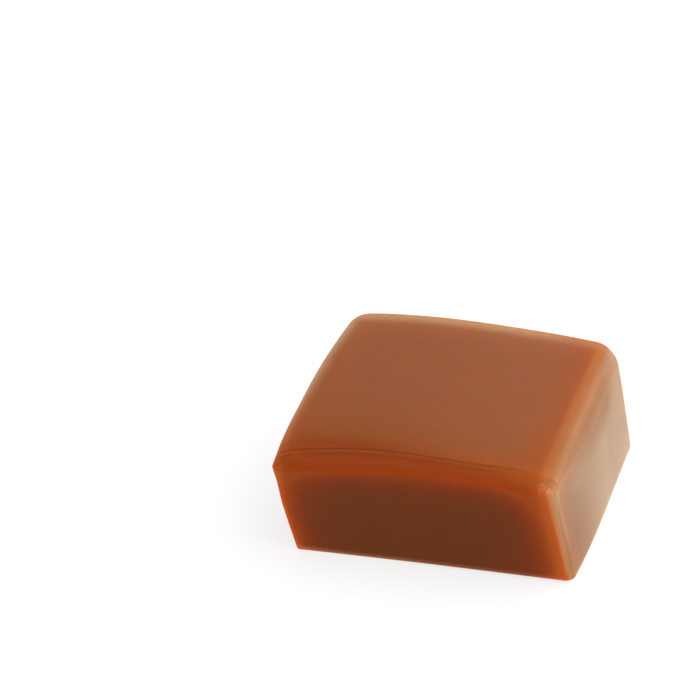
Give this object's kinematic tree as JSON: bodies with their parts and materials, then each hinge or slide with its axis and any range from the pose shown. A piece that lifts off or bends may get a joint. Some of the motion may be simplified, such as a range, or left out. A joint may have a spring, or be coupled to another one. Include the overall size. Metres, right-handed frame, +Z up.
{
  "type": "caramel candy",
  "caption": "Soft chewy caramel: a low, nearly square block with rounded edges, its top domed, leaning to the left and creased behind the front edge.",
  "frame": {"origin": "on the table, under the middle of the caramel's outer box", "axes": "+X along the front edge to the right, +Y from the front face to the back, +Z up"},
  "size_m": [0.0278, 0.0282, 0.0111],
  "materials": {
    "caramel": "soft caramel, satin, slightly translucent, with lighter orange edges"
  },
  "bodies": {
    "root": {"caramel": "caramel"}
  },
  "joints": []
}
